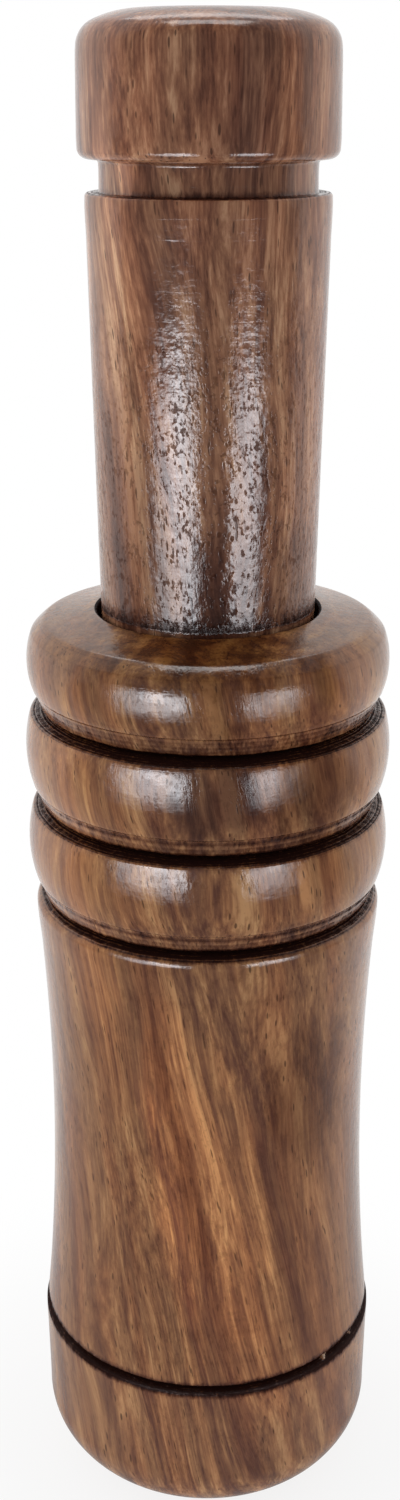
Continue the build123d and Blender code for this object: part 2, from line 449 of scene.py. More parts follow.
@finish
def frosted_film(kit, place, colour):
    """Frosted plastic film with a rolled haze and fine sanding along its length."""
    marks = handling_marks(kit, {"Place": place, "Scuff Length": 4.0})
    sanding = kit.noise(place, (9.0, 9.0, 0.3), detail=3.0, roughness=0.7)
    haze = kit.noise(place, (0.5, 0.5, 0.2), detail=3.0)
    frosted = kit.mix(haze, shade(colour), shade(colour, 1.12))
    return {
        "Base Color": kit.mix(kit.times(sanding, 0.5), frosted, shade(colour, 0.8)),
        "Roughness": kit.plus(kit.plus(0.28, sanding, 0.2), marks["Smear"], 0.1),
        "Normal": kit.bump(sanding, 0.01 * MM),
    }


@finish
def cut_cork(kit, place, colour):
    """Cork cut with a knife: pale cells, brown flecks and dark pits."""
    cells = kit.add("TexVoronoi", {"Vector": place, "Scale": 1.9}).outputs
    tone = kit.add("SeparateColor", {"Color": cells["Color"]}).outputs[0]
    shares = ((0.0, 0.55), (0.5, 1.0), (1.0, 1.35))
    stops = [(position, [value * share for value in colour]) for position, share in shares]
    flecks = kit.noise(place, (1.4, 1.4, 0.5), detail=4.0, roughness=0.7)
    pits = kit.span(flecks, 0.56, 0.66)
    return {
        "Base Color": kit.mix(kit.times(pits, 0.8), kit.ramp(tone, stops), shade(colour, 0.22)),
        "Roughness": kit.plus(0.72, pits, 0.2),
        "Normal": kit.bump(kit.math("SUBTRACT", cells["Distance"], pits), 0.12 * MM),
    }


@finish
def seal_rubber(kit, place, colour):
    """Matt rubber with grease smears and a fine moulded skin."""
    marks = handling_marks(kit, {"Place": place, "Scuff Length": 3.0})
    return {
        "Base Color": kit.mix(marks["Scuff"], shade(colour), shade(colour, 2.6)),
        "Roughness": kit.span(marks["Smear"], 0.0, 1.0, 0.62, 0.38),
        "Normal": kit.bump(kit.noise(place, scale=9.0), 0.015 * MM),
    }


# Turning: the half section of a node, refined and turned with a hand-made unevenness

# Longest steps along the outside and the inside of a section, and how far its corners are eased
FINE_STEP, COARSE_STEP, EASE = 0.45 * MM, 2.5 * MM, 0.1 * MM
# Turns that make a corner: sharp ones, and slight ones between runs of unlike lengths
SHARP_TURN, SLIGHT_TURN, UNLIKE_RUNS = math.radians(24), math.radians(9), 2.5
# Turn under which a run still counts as straight
STRAIGHT_TURN = math.radians(2.5)
# How deep a dip in a section has to be to count as a groove
GROOVE_DEPTH = 0.5 * MM


def half_section(node):
    """Loop of (radius, height) where a turned node meets the half plane y = 0, x > 0, outside first."""
    mesh = frame["nodes"][node].data
    off_plane = 0.002 * MM
    links = {}
    for edge in mesh.edges:
        ends = [mesh.vertices[index].co for index in edge.vertices]
        if any(abs(end.y) > off_plane or end.x < 0 for end in ends):
            continue
        first, second = [(round(end.x, 6), round(end.z, 6)) for end in ends]
        if first != second:
            links.setdefault(first, set()).add(second)
            links.setdefault(second, set()).add(first)
    if any(len(ends) != 2 for ends in links.values()):
        raise RuntimeError(f"the section of {node} is not one closed loop")
    loop = [min(links, key=lambda spot: (spot[1], -spot[0]))]
    loop.append(max(links[loop[0]], key=lambda spot: spot[1]))
    while True:
        following = (links[loop[-1]] - {loop[-2]}).pop()
        if following == loop[0]:
            return [Vector(spot) for spot in loop]
        loop.append(following)


def runs_at(section, index):
    """The two runs of the loop that meet at a point."""
    here = section[index]
    return here - section[index - 1], section[(index + 1) % len(section)] - here


def is_corner(section, index):
    before, after = runs_at(section, index)
    angle = before.angle(after)
    unlike = max(before.length, after.length) / min(before.length, after.length)
    return angle > SHARP_TURN or (angle > SLIGHT_TURN and unlike > UNLIKE_RUNS)


def smooth_tangent(section, index):
    """Direction of a smooth curve through a point of the loop, nearer to the shorter run's."""
    before, after = runs_at(section, index)
    return (before * after.length / before.length + after * before.length / after.length).normalized()


def top_of(section):
    """Index of the highest point, where the outside of the loop ends."""
    return max(range(len(section)), key=lambda index: section[index].y)


def refined(section):
    """The loop with runs curved between corners, corners eased, and points at most a step apart."""
    corners = {index for index in range(len(section)) if is_corner(section, index)}
    top = top_of(section)
    points = []
    for index, start in enumerate(section):
        following = (index + 1) % len(section)
        end = section[following]
        run = end - start
        tangents = []
        cuts = []
        for place in (index, following):
            sharp = place in corners
            tangents.append((run.normalized() if sharp else smooth_tangent(section, place)) * run.length)
            cuts.append(min(EASE / run.length, 0.4) if sharp else 0.0)
        count = max(1, math.ceil(run.length / (FINE_STEP if index <= top else COARSE_STEP)))
        steps = [step / count for step in range(1, count)]
        shares = [cuts[0]] + [share for share in steps if cuts[0] < share < 1 - cuts[1]]
        if cuts[1]:
            shares.append(1 - cuts[1])
        points += [hermite(start, end, *tangents, share) for share in shares]
    return points


def hermite(start, end, leave, arrive, share):
    """Point on the cubic curve that leaves and arrives with the given tangents."""
    rest = 1 - share
    return (
        start * (rest * rest * (1 + 2 * share))
        + end * (share * share * (1 + 2 * rest))
        + leave * (share * rest * rest)
        - arrive * (share * share * rest)
    )


@dataclass
class Groove:
    """V groove: the lip under it, its bottom, the foot of the form above and its char's run over the lip."""

    lip: Vector
    bottom: Vector
    foot: Vector
    lip_overrun: float = 0.0

    def depth_at(self, point, bare=0.0):
        """How far a point lies inside the mouth, negative outside it or on the ledge's bare width."""
        to_lip = (point - self.lip).length
        to_foot = (point - self.foot).length
        if self.lip.y < point.y < self.foot.y:
            return min(to_lip - bare, to_foot)
        return -min(to_lip + bare, to_foot)


def straight_end(section, index, step):
    """Last point of the straight run that leaves a point of the loop, forwards or backwards."""
    way = section[index + step] - section[index]
    while way.angle(section[index + 2 * step] - section[index + step]) < STRAIGHT_TURN:
        index += step
    return section[index + step]


def outside_grooves(section):
    """V grooves in the outside of a section, from the foot up."""
    grooves = []
    for index in range(2, top_of(section) - 1):
        groove = Groove(straight_end(section, index, -1), section[index], straight_end(section, index, 1))
        if groove.bottom.x + GROOVE_DEPTH < min(groove.lip.x, groove.foot.x):
            grooves.append(groove)
    return grooves


def turned_mesh(name, points, segments, shape):
    """Mesh of a section turned about the vertical axis. shape gives each vertex's place and burn."""
    vertices = []
    burns = []
    for point in points:
        for step in range(segments):
            place, burn = shape(point, math.tau * step / segments)
            vertices.append(place)
            burns.append(burn)
    faces = []
    rows = len(points)
    for row in range(rows):
        below = row * segments
        above = (row + 1) % rows * segments
        for step in range(segments):
            after = (step + 1) % segments
            faces.append((below + step, below + after, above + after, above + step))
    mesh = bpy.data.meshes.new(name)
    mesh.from_pydata(vertices, [], faces)
    mesh.attributes.new(BURN_AND_SHADE, "FLOAT", "POINT").data.foreach_set("value", burns)
    map_turned(mesh, points, segments)
    mesh.polygons.foreach_set("use_smooth", [True] * len(faces))
    mesh.update()
    return mesh


def map_turned(mesh, points, segments):
    """Texture map with the angle across and the length along the section up."""
    lengths = [0.0]
    for index, point in enumerate(points):
        lengths.append(lengths[-1] + (points[(index + 1) % len(points)] - point).length)
    places = []
    for row in range(len(points)):
        low = lengths[row] / lengths[-1]
        high = lengths[row + 1] / lengths[-1]
        for step in range(segments):
            left = step / segments
            right = (step + 1) / segments
            places += [left, low, right, low, right, high, left, high]
    mesh.uv_layers.new(name=BAKE_MAP).data.foreach_set("uv", places)


def uneven(angle, height, scale, seed=0.0):
    """Smooth noise from -1 to 1 round a turned piece, with features about scale wide."""
    ring = 17.0 * MM / scale
    return noise.noise(Vector((math.cos(angle) * ring + seed, math.sin(angle) * ring, height / scale)))


def around(angle, radius, height):
    return (radius * math.cos(angle), radius * math.sin(angle), height)


def new_piece(name, mesh, material):
    piece = bpy.data.objects.new(name, mesh)
    bpy.context.scene.collection.objects.link(piece)
    mesh.materials.append(material)
    return piece


def dress(node, material):
    """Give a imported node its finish."""
    for slot in frame["nodes"][node].material_slots:
        slot.material = material


# Settings


def typed(kind, **details):
    """Maker of properties of one kind, each from a name, a description and a default."""

    def made(name, description, default):
        return kind(name=name, description=description, default=default, **details)

    return made


colour_prop = typed(FloatVectorProperty, subtype="COLOR", size=3, min=0.0, max=1.0)
tint_prop = typed(FloatVectorProperty, subtype="COLOR", size=3, min=0.0, max=2.0)
place_prop = typed(FloatVectorProperty, subtype="TRANSLATION", unit="LENGTH")
turn_prop = typed(FloatVectorProperty, subtype="EULER")
angle_prop = typed(FloatProperty, subtype="ANGLE")
lens_prop = typed(FloatProperty, unit="CAMERA")
length_prop = typed(FloatProperty, unit="LENGTH", precision=5)
strength_prop = typed(FloatProperty, min=0.0)
power_prop = typed(FloatProperty, min=0.0, unit="POWER")
share_prop = typed(FloatProperty, subtype="FACTOR", min=0.0, max=1.0)
segments_prop = typed(IntProperty, min=32)

# Settings that both turned pieces have, each with a default of its own
lean_prop = partial(turn_prop, "Grain Lean", "Angles of the grain to the bore")
pith_prop = partial(place_prop, "Pith", "Where the middle of the tree lay")
line_prop = partial(share_prop, "Chisel Rings", "Share of the relief that the chisel's rings take")
pit_prop = partial(share_prop, "Pits", "How far the pores and pits show through the lacquer")
pit_top_prop = partial(length_prop, "Pit Top", "Height above which the lacquer fills the pits")
fibre_prop = partial(strength_prop, "Fibres", "Contrast of the fine fibres")
peel_prop = partial(strength_prop, "Peel", "Share of the relief that waves take")
wobble_prop = partial(length_prop, "Wobble", "How far the turned outside is out of round")
end_prop = partial(tint_prop, "End Grain", "Tint of the end grain")
pale_prop = partial(colour_prop, "Pale Streak", "Colour of the palest streaks")
warm_prop = partial(colour_prop, "Warm Wood", "Colour of the common wood")
brown_prop = partial(colour_prop, "Brown Wood", "Colour of the darker wood")
dark_prop = partial(colour_prop, "Dark Streak", "Colour of the darkest streaks")


class TurnedWood:
    """Figure and lacquer of a turned piece."""

    pore_colour: colour_prop("Pores", "Colour inside the pores", (0.03, 0.012, 0.009))
    ruddy_tint: tint_prop("Ruddy Tint", "Tint of the redder streaks", (0.97, 0.85, 0.82))
    # Char and scorch colours also paint shade in the bore's recess, on the shaft's foot and under each bead
    char_and_shade_colour: colour_prop("Char", "Colour of burnt wood", (0.018, 0.0065, 0.005))
    scorch_and_shade_tint: tint_prop("Scorch", "Tint of wood beside a burn", (0.33, 0.2, 0.175))
    torn_colour: colour_prop("Torn Wood", "Colour of a torn splinter", (0.62, 0.45, 0.33))
    ring_spacing: length_prop("Ring Spacing", "Distance between growth rings", 2.4 * MM)
    relief: length_prop("Relief", "Depth of pores and peel in the lacquer", 0.05 * MM)
    lacquer_roughness: share_prop("Lacquer Roughness", "How far the lacquer blurs what it mirrors", 0.13)
    chatter_share: share_prop("Chatter", "Share of the relief that the chisel's chatter takes", 0.15)
    calm_sides: share_prop("Calm Sides", "How far the figure fades where the rings lie flat", 0.55)
    pit_fade: length_prop("Pit Fade", "Height over which the lacquer comes to fill the pits", 18.0 * MM)
    segments: segments_prop("Segments", "Faces round the piece", 256)


class BarrelSettings(TurnedWood, bpy.types.PropertyGroup):
    """Finish of the barrel."""

    lean: lean_prop((0.0, math.radians(11), 0.0))
    pith: pith_prop((-44.0 * MM, 9.0 * MM, 0.0))
    line_share: line_prop(0.03)
    pit_share: pit_prop(0.4)
    pit_top: pit_top_prop(200.0 * MM)
    fibre_share: fibre_prop(1.05)
    peel_share: peel_prop(0.6)
    wobble: wobble_prop(0.015 * MM)
    end_tint: end_prop((1.0, 0.94, 0.75))
    pale_colour: pale_prop((0.455, 0.25, 0.115))
    warm_colour: warm_prop((0.285, 0.138, 0.065))
    brown_colour: brown_prop((0.178, 0.08, 0.042))
    dark_colour: dark_prop((0.11, 0.045, 0.029))
    lip_wander: length_prop("Lip Wander", "How far a burnt groove's edges wander", 0.14 * MM)
    burn_reach: length_prop("Burn Reach", "How far the char fades at a groove's edge", 0.35 * MM)
    burn_overrun: length_prop("Burn Overrun", "How far the char runs past a groove's edges", 0.14 * MM)
    bare_ledge: length_prop("Bare Ledge", "Width of a ledge left bare at the left", 0.3 * MM)
    thin_char: share_prop("Thin Char", "How much less the beads' grooves are burnt at their sides", 0.5)
    # Scorch and painted shade: the strip under each bead is browned
    strip_scorch: length_prop("Strip Scorch", "Height of the browned strip above a bead's groove", 1.75 * MM)
    # Painted shade: the recess round the stopper is blackened like char
    recess_burn: length_prop("Recess Burn", "How deep the recess round the stopper is blackened", 4.0 * MM)


class StopperSettings(TurnedWood, bpy.types.PropertyGroup):
    """Finish of the stopper."""

    lean: lean_prop((math.radians(5), math.radians(2), 0.0))
    pith: pith_prop((2.0 * MM, -26.0 * MM, 0.0))
    line_share: line_prop(0.04)
    pit_share: pit_prop(1.0)
    pit_top: pit_top_prop(131.0 * MM)
    fibre_share: fibre_prop(1.2)
    peel_share: peel_prop(1.3)
    wobble: wobble_prop(0.012 * MM)
    end_tint: end_prop((1.1, 0.98, 0.86))
    pale_colour: pale_prop((0.42, 0.238, 0.14))
    warm_colour: warm_prop((0.27, 0.13, 0.073))
    brown_colour: brown_prop((0.175, 0.077, 0.045))
    dark_colour: dark_prop((0.1, 0.041, 0.026))
    ripple: length_prop("Ripple", "Depth of the ripples that the chisel left on the shaft", 0.012 * MM)
    # Painted shade: the shaft's foot is darkened like char where it stands in the barrel
    foot_burn: length_prop("Foot Burn", "How far the shaft is scorched above the barrel", 2.2 * MM)


class InsertSettings(bpy.types.PropertyGroup):
    """Colours of the pieces inside the call."""

    board_colour: colour_prop("Tone Board", "Colour of the moulded tone board", (0.025, 0.023, 0.022))
    film_colour: colour_prop("Reeds", "Colour of the frosted film", (0.75, 0.72, 0.62))
    cork_colour: colour_prop("Cork", "Colour of the cork wedge", (0.5, 0.31, 0.15))
    rubber_colour: colour_prop("Seals", "Colour of the sealing rings", (0.02, 0.02, 0.02))
    cork_pits: length_prop("Cork Pits", "Depth of the pits in the cut cork", 0.14 * MM)


class StageSettings(bpy.types.PropertyGroup):
    """Floor, light and camera."""

    lens: lens_prop("Lens", "Focal length", 42.94)
    camera_place: place_prop(
        "Camera Place", "Where the camera stands", (-0.76 * MM, -165.0 * MM, 142.28 * MM)
    )
    camera_drop: angle_prop("Camera Drop", "Angle by which the camera looks down", math.radians(20.48))
    floor_colour: colour_prop("Floor", "Colour of the pale floor", (0.86, 0.86, 0.86))
    room_light: strength_prop("Room", "Light of the white room", 1.5)
    floor_light: strength_prop("Floor Glow", "Light of the floor round the call", 0.7)
    card_light: strength_prop("Low Cards", "Glow of the left low card", 14.0)
    right_card: share_prop("Right Card", "Glow of the right low card as a share of the left one's", 0.8)
    box_light: power_prop("Back Box", "Light of the box behind", 1.0)
    strip_light: power_prop("Top Strip", "Light of the strip overhead", 1.9)


class CallSettings(bpy.types.PropertyGroup):
    """Everything that a user may change on the call."""

    barrel: PointerProperty(type=BarrelSettings)
    stopper: PointerProperty(type=StopperSettings)
    insert: PointerProperty(type=InsertSettings)
    stage: PointerProperty(type=StageSettings)


# Operators

# Patches on each turned piece: other wood, painted light and shade, and worn lacquer
BARREL_WOOD_AND_PAINTED_LIGHT_PATCHES = (
    # A dark cloud, a pale streak and a dark streak in the body's wood
    Patch((9.9, -13.0, 48.8), (6.0, 7.0, 11.0), (0.45, 0.38, 0.36), 0.75),
    Patch((-5.5, -15.0, 45.8), (1.5, 5.0, 30.0), (1.4, 1.4, 1.3), 0.8),
    Patch((-2.1, -15.0, 42.4), (1.3, 5.0, 26.0), (0.6, 0.52, 0.5), 0.8),
    # Painted reflection and shade: the rim's front mirrors the dark shaft, and the first bead's shoulder is
    # darkened
    Patch((0.0, -13.5, 94.5), (13.0, 9.0, 10.0), (0.46, 0.37, 0.27), 1.0),
    Patch((9.0, -14.0, 82.0), (9.0, 9.0, 18.0), worn=0.75),
    # Painted light and sheen: the beads' left and right sides are lightened
    Patch((-13.5, -10.0, 77.0), (9.0, 12.0, 24.0), (1.5, 1.52, 1.4), 0.9),
    Patch((16.0, -8.0, 80.0), (7.0, 11.0, 22.0), (1.4, 1.5, 1.5), 0.9),
    # Darker and purplish at the beads' front right
    Patch((9.5, -14.5, 81.0), (6.5, 7.0, 6.5), (0.42, 0.4, 0.44), 0.9),
    # Painted shade: the beads' fronts are darkened between the highlights
    Patch((-0.6, -14.0, 84.4), (9.0, 8.0, 15.0), (0.74, 0.7, 0.7), 0.9),
    Patch((1.5, -16.0, 82.0), (7.5, 8.0, 6.0), (0.36, 0.31, 0.38), 0.9),
    # Lighter and warmer down the body's front
    Patch((0.5, -16.0, 38.9), (8.0, 9.0, 28.0), (1.6, 1.5, 1.34), 0.85),
    # Darker at the front right of the foot band
    Patch((6.9, -16.0, 6.4), (5.0, 6.0, 8.0), (0.75, 0.74, 0.78), 0.8),
)
STOPPER_PAINTED_LIGHT_PATCHES = (
    # Painted shade at the front of the shaft's lower part
    Patch((0.5, -10.0, 98.0), (4.5, 7.0, 10.0), (0.45, 0.36, 0.38), 0.9),
    # Painted light and sheen on the shaft's left and right sides
    Patch((-8.0, -7.0, 126.0), (6.0, 8.0, 17.0), (1.9, 2.1, 2.1), 0.9),
    Patch((8.5, -6.0, 114.0), (4.0, 7.0, 24.0), (1.45, 1.5, 1.5), 0.8),
    # Painted light on the cap's left and right sides, and painted shade at its front
    Patch((-8.0, -8.0, 142.0), (6.0, 9.0, 12.0), (1.5, 1.5, 1.5), 0.8),
    Patch((3.0, -11.0, 141.0), (4.0, 6.0, 12.0), (0.6, 0.54, 0.6), 0.8),
    Patch((8.5, -8.0, 141.0), (3.5, 7.0, 10.0), (1.3, 1.3, 1.25), 0.8),
)
# Bearings from the front, half widths and strengths of the splinters left in the lowest groove
SPLINTERS = ((math.radians(45), 0.45 * MM, 1.0), (math.radians(62), 0.5 * MM, 0.45))
# Radius that lies between the stopper's bores and the outside of its shaft
SHAFT_LIMIT = 9.5 * MM
# Half the lanyard groove's width, the radius of its floor and one that takes in its lower ledge
LANYARD_HALF, LANYARD_FLOOR, LANYARD_LEDGE = 1.4 * MM, 9.7 * MM, 11.0 * MM


class BIRDCALL_OT_barrel(bpy.types.Operator):
    """Turn the barrel, burn its grooves and lacquer it"""

    bl_idname = "birdcall.barrel"
    bl_label = "Turn Barrel"

    def execute(self, context):
        settings = context.scene.bird_call.barrel
        section = half_section("barrel")
        grooves = outside_grooves(section)
        lowest, waist_head = grooves[:2]
        lowest.lip_overrun = 0.4 * MM
        waist_head.lip_overrun = 0.3 * MM
        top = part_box("barrel")[1].z
        rim = section[top_of(section)].x

        def shape(point, angle):
            radius, height = point
            # Painted shade: inside the rim, the recess round the stopper is blackened towards the top
            if radius < rim:
                shaded = max(0.0, 1 + (height - top) / settings.recess_burn)
                return around(angle, radius, height), min(1.0, shaded * 4)
            groove = min(grooves, key=lambda each: abs(each.bottom.y - height))
            radius += settings.wobble * uneven(angle, height, 7 * MM)
            height += settings.lip_wander * wander_at(point, angle, groove)
            burn = groove_burn(settings, point, angle, groove)
            if groove is not lowest:
                burn = bead_burn(settings, height, angle, groove, burn)
            radius, burn = splinter_at(point, angle, lowest, radius, max(0.0, burn))
            return around(angle, radius, height), burn

        mesh = turned_mesh("turned_barrel", refined(section), settings.segments, shape)
        wood = lacquered_wood("Barrel Lacquer", settings, BARREL_WOOD_AND_PAINTED_LIGHT_PATCHES)
        piece = new_piece("turned_barrel", mesh, wood)
        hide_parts("barrel")
        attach(piece, "barrel")
        return {"FINISHED"}


def wander_at(point, angle, groove):
    """Unevenness of a groove's edges, fading out away from its bottom."""
    reach = 2.6 * MM
    wander = uneven(angle, groove.bottom.y, 1.6 * MM) + 0.6 * uneven(angle, groove.bottom.y, 0.6 * MM, 5.0)
    return wander * max(0.0, 1 - (point - groove.bottom).length / reach)


def groove_burn(settings, point, angle, groove):
    """How charred a groove is at a point: wider at the call's sides, and bare on the left of its ledge."""
    aside = math.cos(angle)
    bare = settings.bare_ledge * max(0.0, -aside - 0.3) - groove.lip_overrun
    overrun = settings.burn_overrun * (1 + 2 * abs(aside))
    burn = 0.5 + (groove.depth_at(point, bare) + overrun) / (2 * settings.burn_reach)
    return min(1.0, burn + 0.2 * uneven(angle, groove.bottom.y, 9 * MM, 2.0))


def bead_burn(settings, height, angle, groove, burn):
    """The burn at a bead: thinner at its sides, with the strip above the groove browned as scorch and as
    painted shade under the bead.
    """
    aside = math.cos(angle)
    burn -= settings.thin_char * max(0.0, abs(aside) - 0.35)
    # Scorch with painted shade: the strip under the bead's step is browned, more on the right
    if 0 < height - groove.foot.y < settings.strip_scorch:
        browned_and_shaded = 0.3 + 0.25 * max(0.0, aside) + 0.22 * uneven(angle, height, 2.5 * MM, 8.0)
        burn = max(burn, browned_and_shaded)
    return burn


def splinter_at(point, angle, groove, radius, burn):
    """Radius and burn of a point, with the splinters that bridge a groove left standing."""
    if groove.depth_at(point) <= 0:
        return radius, burn
    for bearing, half_width, strength in SPLINTERS:
        off = (angle - bearing + math.pi / 2 + math.pi) % math.tau - math.pi
        stand = strength * max(0.0, 1 - abs(off) * radius / half_width)
        if stand:
            mouth = min(groove.lip.x, groove.foot.x)
            return radius + (mouth - radius) * stand, burn - 2 * stand
    return radius, burn


class BIRDCALL_OT_stopper(bpy.types.Operator):
    """Turn the stopper, darken its lanyard groove's ledge, paint shade on the shaft's foot and lacquer it"""

    bl_idname = "birdcall.stopper"
    bl_label = "Turn Stopper"

    def execute(self, context):
        settings = context.scene.bird_call.stopper
        mounts = {mount["name"]: mount for mount in frame["record"]["mounts"]}
        lanyard = mounts["lanyard_groove"]["pos_m"][2]
        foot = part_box("barrel")[1].z

        def shape(point, angle):
            radius, height = point
            if radius <= SHAFT_LIMIT or height <= foot:
                return around(angle, radius, height), 0.0
            radius += settings.ripple * uneven(0.0, height, 1.3 * MM)
            radius += settings.wobble * uneven(angle, height, 6 * MM)
            # Painted shade on the shaft's foot, darkest at the barrel's rim
            foot_burn = 1.0 - (height - foot) / settings.foot_burn
            return around(angle, radius, height), max(lanyard_darkening(point, angle, lanyard), foot_burn)

        points = refined(half_section("stopper"))
        mesh = turned_mesh("turned_stopper", points, settings.segments, shape)
        wood = lacquered_wood("Stopper Lacquer", settings, STOPPER_PAINTED_LIGHT_PATCHES)
        piece = new_piece("turned_stopper", mesh, wood)
        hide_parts("stopper")
        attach(piece, "stopper")
        return {"FINISHED"}


def lanyard_darkening(point, angle, middle):
    """How dark the lanyard groove's lower ledge is made, fading up its floor and outwards."""
    above_ledge = point.y - middle + LANYARD_HALF
    lowest, highest = -0.1 * MM, 0.8 * MM
    if point.x >= LANYARD_LEDGE or not lowest < above_ledge < highest:
        return 0.0
    burn = 1.0 - 0.35 * abs(math.cos(angle)) + 0.2 * uneven(angle, middle, 3 * MM)
    return burn - 1.1 * max(0.0, above_ledge) / MM - 0.25 * (point.x - LANYARD_FLOOR) / MM


class BIRDCALL_OT_seals(bpy.types.Operator):
    """Give the sealing rings their rubber"""

    bl_idname = "birdcall.seals"
    bl_label = "Finish Seals"

    def execute(self, context):
        rubber = seal_rubber("Seal Rubber", context.scene.bird_call.insert.rubber_colour)
        for node in ("upper_o_ring", "lower_o_ring"):
            dress(node, rubber)
        return {"FINISHED"}


class BIRDCALL_OT_tone_board(bpy.types.Operator):
    """Give the tone board its moulded finish"""

    bl_idname = "birdcall.tone_board"
    bl_label = "Finish Tone Board"

    def execute(self, context):
        dress("tone_board", moulded_plastic("Board Plastic", context.scene.bird_call.insert.board_colour))
        return {"FINISHED"}


class BIRDCALL_OT_reeds(bpy.types.Operator):
    """Cut the reeds from frosted film, in short lengths along the strip"""

    bl_idname = "birdcall.reeds"
    bl_label = "Cut Reeds"

    def execute(self, context):
        film = frosted_film("Reed Film", context.scene.bird_call.insert.film_colour)
        for node in ("lower_reed", "upper_reed"):
            low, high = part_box(node)
            piece = new_piece(f"{node}_film", reed_mesh(node, low, high), film)
            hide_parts(node)
            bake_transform(piece)
        return {"FINISHED"}


def reed_mesh(node, low, high):
    """Strip of film with its tip corners cut off, in short lengths so that it can bend."""
    ear = 1.2 * MM
    lengths = 48
    across = 8
    mesh = bmesh.new()
    rows = []
    for row in range(lengths + 1):
        height = low.z + (high.z - low.z) * row / lengths
        half = high.x - max(0.0, ear - (height - low.z))
        spots = [half * (2 * step / across - 1) for step in range(across + 1)]
        rows.append([[mesh.verts.new((x, y, height)) for x in spots] for y in (low.y, high.y)])
    for (front, back), (next_front, next_back) in zip(rows, rows[1:]):
        for step in range(across):
            mesh.faces.new((front[step], front[step + 1], next_front[step + 1], next_front[step]))
            mesh.faces.new((back[step + 1], back[step], next_back[step], next_back[step + 1]))
        mesh.faces.new((back[0], front[0], next_front[0], next_back[0]))
        mesh.faces.new((front[-1], back[-1], next_back[-1], next_front[-1]))
    for (front, back), flip in ((rows[0], False), (rows[-1], True)):
        for step in range(across):
            face = (back[step], back[step + 1], front[step + 1], front[step])
            mesh.faces.new(face[::-1] if flip else face)
    made = bpy.data.meshes.new(f"{node}_film")
    mesh.to_mesh(made)
    mesh.free()
    return made


class BIRDCALL_OT_cork_wedge(bpy.types.Operator):
    """Cut the cork wedge, with pits in its faces"""

    bl_idname = "birdcall.cork_wedge"
    bl_label = "Cut Cork Wedge"

    def execute(self, context):
        settings = context.scene.bird_call.insert
        low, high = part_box("cork_wedge")
        middle = (low + high) / 2
        size = high - low
        mesh = bmesh.new()
        bmesh.ops.create_cube(mesh, size=1.0)
        for vertex in mesh.verts:
            vertex.co = middle + Vector(a * b for a, b in zip(vertex.co, size))
        bevel = 0.22 * MM
        bmesh.ops.bevel(mesh, geom=mesh.edges[:], offset=bevel, segments=2, affect="EDGES")
        pitch = 0.25 * MM
        for axis in range(3):
            cuts = int(size[axis] / pitch)
            for cut in range(1, cuts):
                spot = middle.copy()
                spot[axis] = low[axis] + size[axis] * cut / cuts
                normal = Vector(float(axis == other) for other in range(3))
                geometry = mesh.verts[:] + mesh.edges[:] + mesh.faces[:]
                bmesh.ops.bisect_plane(mesh, geom=geometry, plane_co=spot, plane_no=normal)
        mesh.normal_update()
        wide, narrow = 0.9 * MM, 0.35 * MM
        for vertex in mesh.verts:
            pit = max(0.0, noise.noise(vertex.co / wide) - 0.12)
            pit += 0.5 * max(0.0, noise.noise(vertex.co / narrow) - 0.2)
            vertex.co -= vertex.normal * settings.cork_pits * min(1.0, pit * 2.2)
        made = bpy.data.meshes.new("cut_cork_wedge")
        mesh.to_mesh(made)
        mesh.free()
        made.polygons.foreach_set("use_smooth", [True] * len(made.polygons))
        piece = new_piece("cut_cork_wedge", made, cut_cork("Cut Cork", settings.cork_colour))
        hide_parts("cork_wedge")
        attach(piece, "stopper")
        return {"FINISHED"}


class BIRDCALL_OT_stage(bpy.types.Operator):
    """Set the floor, the light and the camera"""

    bl_idname = "birdcall.stage"
    bl_label = "Set Stage"

    def execute(self, context):
        settings = context.scene.bird_call.stage
        lay_floor(settings)
        light_world(context.scene, settings)
        low_card("left_card", -13, -62, settings.card_light)
        low_card("right_card", 23, 60, settings.card_light * settings.right_card)
        area_light("back_box", settings.box_light, size=(0.55, 0.25), place=(0.0, 0.45, 0.72), tilt=-34)
        area_light("top_strip", settings.strip_light, size=(0.5, 0.25), place=(0.0, 0.0, 0.85))
        camera = bpy.data.cameras.new("photo_camera")
        camera.lens = settings.lens
        camera.clip_start = 0.01
        stand = bpy.data.objects.new("photo_camera", camera)
        stand.location = settings.camera_place
        stand.rotation_euler = (math.pi / 2 - settings.camera_drop, 0.0, 0.0)
        context.scene.collection.objects.link(stand)
        context.scene.camera = stand
        context.scene.view_settings.view_transform = "Standard"
        return {"FINISHED"}


# How bright the dim side of the room looks in the lacquer
FRONT_DIM = 0.14
# How the room's light changes along each axis: from one bearing to another, and between which shares
ROOM_SHADES = (("Y", -0.7, 0.2, 0.4, 1.2), ("X", -0.8, 0.8, 1.25, 0.9), ("Z", 0.2, 0.95, 1.0, 0.4))


def looking(kit):
    """Mask of rays that see the white ground straight, mirrored or through glass, and of the camera's own."""
    path = kit.add("LightPath").outputs
    camera = path["Is Camera Ray"]
    return kit.most(kit.most(camera, path["Is Glossy Ray"]), path["Is Transmission Ray"]), camera


